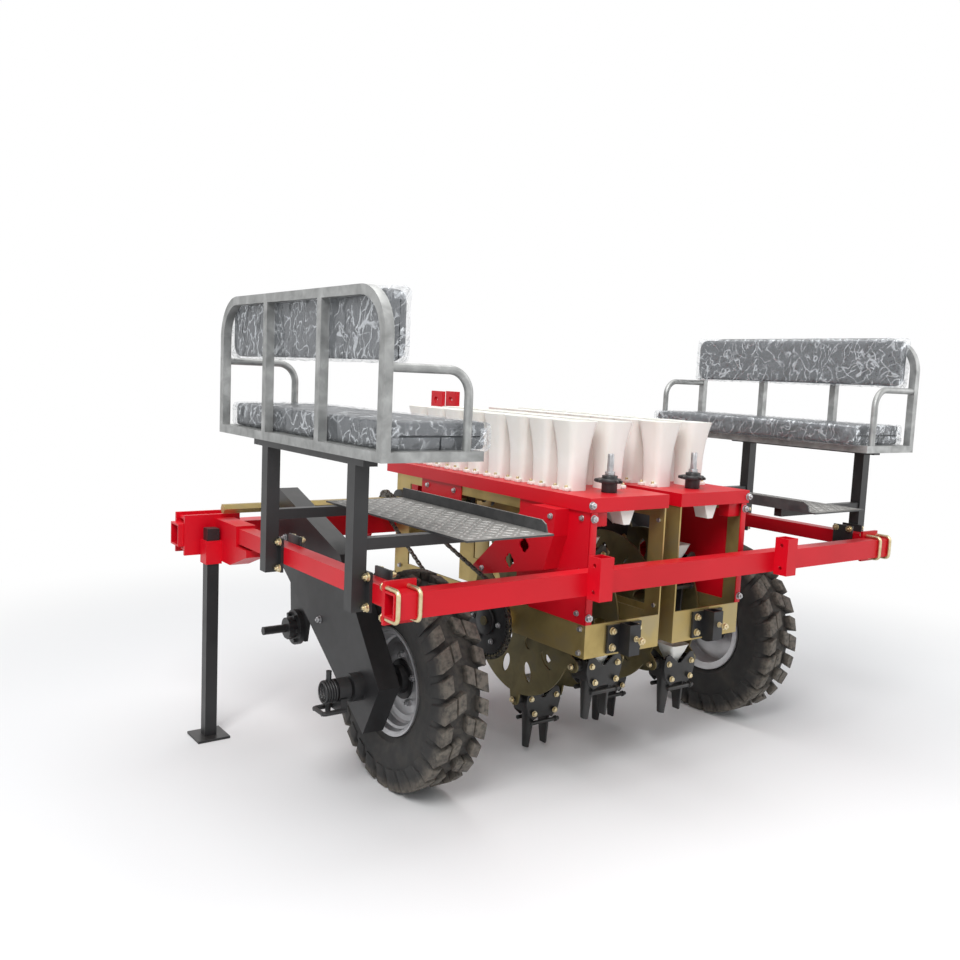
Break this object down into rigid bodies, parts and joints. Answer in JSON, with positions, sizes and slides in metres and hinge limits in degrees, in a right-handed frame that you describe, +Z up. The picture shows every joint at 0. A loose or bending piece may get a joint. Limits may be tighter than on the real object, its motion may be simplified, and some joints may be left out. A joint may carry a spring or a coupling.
{
  "type": "tractor-mounted seedling transplanter",
  "caption": "Tractor-mounted seedling transplanter with side benches, rows of white cups on red decks, planting wheels with hinged duckbills, ground wheels and a three-point mast.",
  "frame": {"origin": "centre of the footprint's box at floor level", "axes": "+X to the machine's right along the beams, +Y forward to the tractor, +Z up"},
  "size_m": [2.364, 1.49, 1.465],
  "materials": {
    "red_paint": "gloss",
    "black_paint": "satin",
    "galvanised": "satin",
    "zinc_yellow": "satin",
    "bolt_zinc": "satin",
    "chequer_plate": "matte",
    "cushion": "satin",
    "white_plastic": "satin",
    "chain_steel": "satin",
    "tyre": "matte",
    "rim_silver": "satin",
    "bill_black": "satin"
  },
  "bodies": {
    "frame": {"front_beam": "red_paint", "rear_beam": "red_paint", "side_arms": "red_paint", "arm_sleeves": "red_paint", "beam_clamps": "red_paint", "beam_u_bolts": "bolt_zinc", "hitch_mast": "red_paint", "lower_hitch": "red_paint", "seat_posts": "black_paint", "foot_arms": "black_paint", "seat_rails": "black_paint", "foot_plates": "chequer_plate", "bench_frame_left": "galvanised", "bench_frame_right": "galvanised", "seat_cushion_left": "cushion", "seat_cushion_right": "cushion", "back_cushion_left": "cushion", "back_cushion_right": "cushion", "chain_cases": "black_paint", "stub_hubs": "black_paint", "drive_shaft": "zinc_yellow", "unit_frame_left": "zinc_yellow", "unit_frame_right": "zinc_yellow", "side_panels": "red_paint", "deck_left": "red_paint", "deck_right": "red_paint", "cups_left": "white_plastic", "cups_right": "white_plastic", "cup_sprockets": "black_paint", "chain_guards": "red_paint", "socket_plates": "black_paint", "drop_chutes": "white_plastic", "shaft_bearings": "black_paint", "drive_chains": "chain_steel"},
    "wheel_left": {"tyre_left": "tyre", "rim_left": "rim_silver", "axle_left": "black_paint"},
    "planter_left": {"planting_wheel_left": "zinc_yellow", "side_sprocket_left": "black_paint"},
    "bill_left_1": {"duckbill_left_1": "bill_black"},
    "bill_left_2": {"duckbill_left_2": "bill_black"},
    "bill_left_3": {"duckbill_left_3": "bill_black"},
    "bill_left_4": {"duckbill_left_4": "bill_black"},
    "bill_left_5": {"duckbill_left_5": "bill_black"},
    "leg_left": {"parking_leg_left": "black_paint"},
    "wheel_right": {"tyre_right": "tyre", "rim_right": "rim_silver", "axle_right": "black_paint"},
    "planter_right": {"planting_wheel_right": "zinc_yellow", "side_sprocket_right": "black_paint"},
    "bill_right_1": {"duckbill_right_1": "bill_black"},
    "bill_right_2": {"duckbill_right_2": "bill_black"},
    "bill_right_3": {"duckbill_right_3": "bill_black"},
    "bill_right_4": {"duckbill_right_4": "bill_black"},
    "bill_right_5": {"duckbill_right_5": "bill_black"},
    "leg_right": {"parking_leg_right": "black_paint"}
  },
  "joints": [
    {"name": "wheel_left_spin", "type": "hinge", "parent": "frame", "child": "wheel_left", "pos_m": [-0.706, -0.2, 0.33], "axis": [1, 0, 0], "continuous": true},
    {"name": "planter_left_spin", "type": "hinge", "parent": "frame", "child": "planter_left", "pos_m": [-0.187, -0.217, 0.482], "axis": [1, 0, 0], "continuous": true},
    {"name": "bill_left_1_pivot", "type": "hinge", "parent": "planter_left", "child": "bill_left_1", "pos_m": [-0.187, -0.20695, 0.19418], "axis": [1, 0, 0], "continuous": true},
    {"name": "bill_left_2_pivot", "type": "hinge", "parent": "planter_left", "child": "bill_left_2", "pos_m": [-0.187, 0.05984, 0.40262], "axis": [1, 0, 0], "continuous": true},
    {"name": "bill_left_3_pivot", "type": "hinge", "parent": "planter_left", "child": "bill_left_3", "pos_m": [-0.187, -0.05595, 0.72076], "axis": [1, 0, 0], "continuous": true},
    {"name": "bill_left_4_pivot", "type": "hinge", "parent": "planter_left", "child": "bill_left_4", "pos_m": [-0.187, -0.39431, 0.70895], "axis": [1, 0, 0], "continuous": true},
    {"name": "bill_left_5_pivot", "type": "hinge", "parent": "planter_left", "child": "bill_left_5", "pos_m": [-0.187, -0.48763, 0.3835], "axis": [1, 0, 0], "continuous": true},
    {"name": "leg_left_slide", "type": "slide", "parent": "frame", "child": "leg_left", "axis": [0, 0, 1], "range_m": [0, 0.3]},
    {"name": "wheel_right_spin", "type": "hinge", "parent": "frame", "child": "wheel_right", "pos_m": [0.706, -0.2, 0.33], "axis": [1, 0, 0], "continuous": true},
    {"name": "planter_right_spin", "type": "hinge", "parent": "frame", "child": "planter_right", "pos_m": [0.187, -0.217, 0.482], "axis": [1, 0, 0], "continuous": true},
    {"name": "bill_right_1_pivot", "type": "hinge", "parent": "planter_right", "child": "bill_right_1", "pos_m": [0.187, -0.46124, 0.32938], "axis": [1, 0, 0], "continuous": true},
    {"name": "bill_right_2_pivot", "type": "hinge", "parent": "planter_right", "child": "bill_right_2", "pos_m": [0.187, -0.14733, 0.20255], "axis": [1, 0, 0], "continuous": true},
    {"name": "bill_right_3_pivot", "type": "hinge", "parent": "planter_right", "child": "bill_right_3", "pos_m": [0.187, 0.0703, 0.46191], "axis": [1, 0, 0], "continuous": true},
    {"name": "bill_right_4_pivot", "type": "hinge", "parent": "planter_right", "child": "bill_right_4", "pos_m": [0.187, -0.10911, 0.74903], "axis": [1, 0, 0], "continuous": true},
    {"name": "bill_right_5_pivot", "type": "hinge", "parent": "planter_right", "child": "bill_right_5", "pos_m": [0.187, -0.43762, 0.66712], "axis": [1, 0, 0], "continuous": true},
    {"name": "leg_right_slide", "type": "slide", "parent": "frame", "child": "leg_right", "axis": [0, 0, 1], "range_m": [0, 0.3]}
  ],
  "couplings": [
    {"joint": "bill_left_1_pivot", "follows": "planter_left_spin", "ratio": -1},
    {"joint": "bill_left_2_pivot", "follows": "planter_left_spin", "ratio": -1},
    {"joint": "bill_left_3_pivot", "follows": "planter_left_spin", "ratio": -1},
    {"joint": "bill_left_4_pivot", "follows": "planter_left_spin", "ratio": -1},
    {"joint": "bill_left_5_pivot", "follows": "planter_left_spin", "ratio": -1},
    {"joint": "bill_right_1_pivot", "follows": "planter_right_spin", "ratio": -1},
    {"joint": "bill_right_2_pivot", "follows": "planter_right_spin", "ratio": -1},
    {"joint": "bill_right_3_pivot", "follows": "planter_right_spin", "ratio": -1},
    {"joint": "bill_right_4_pivot", "follows": "planter_right_spin", "ratio": -1},
    {"joint": "bill_right_5_pivot", "follows": "planter_right_spin", "ratio": -1}
  ]
}
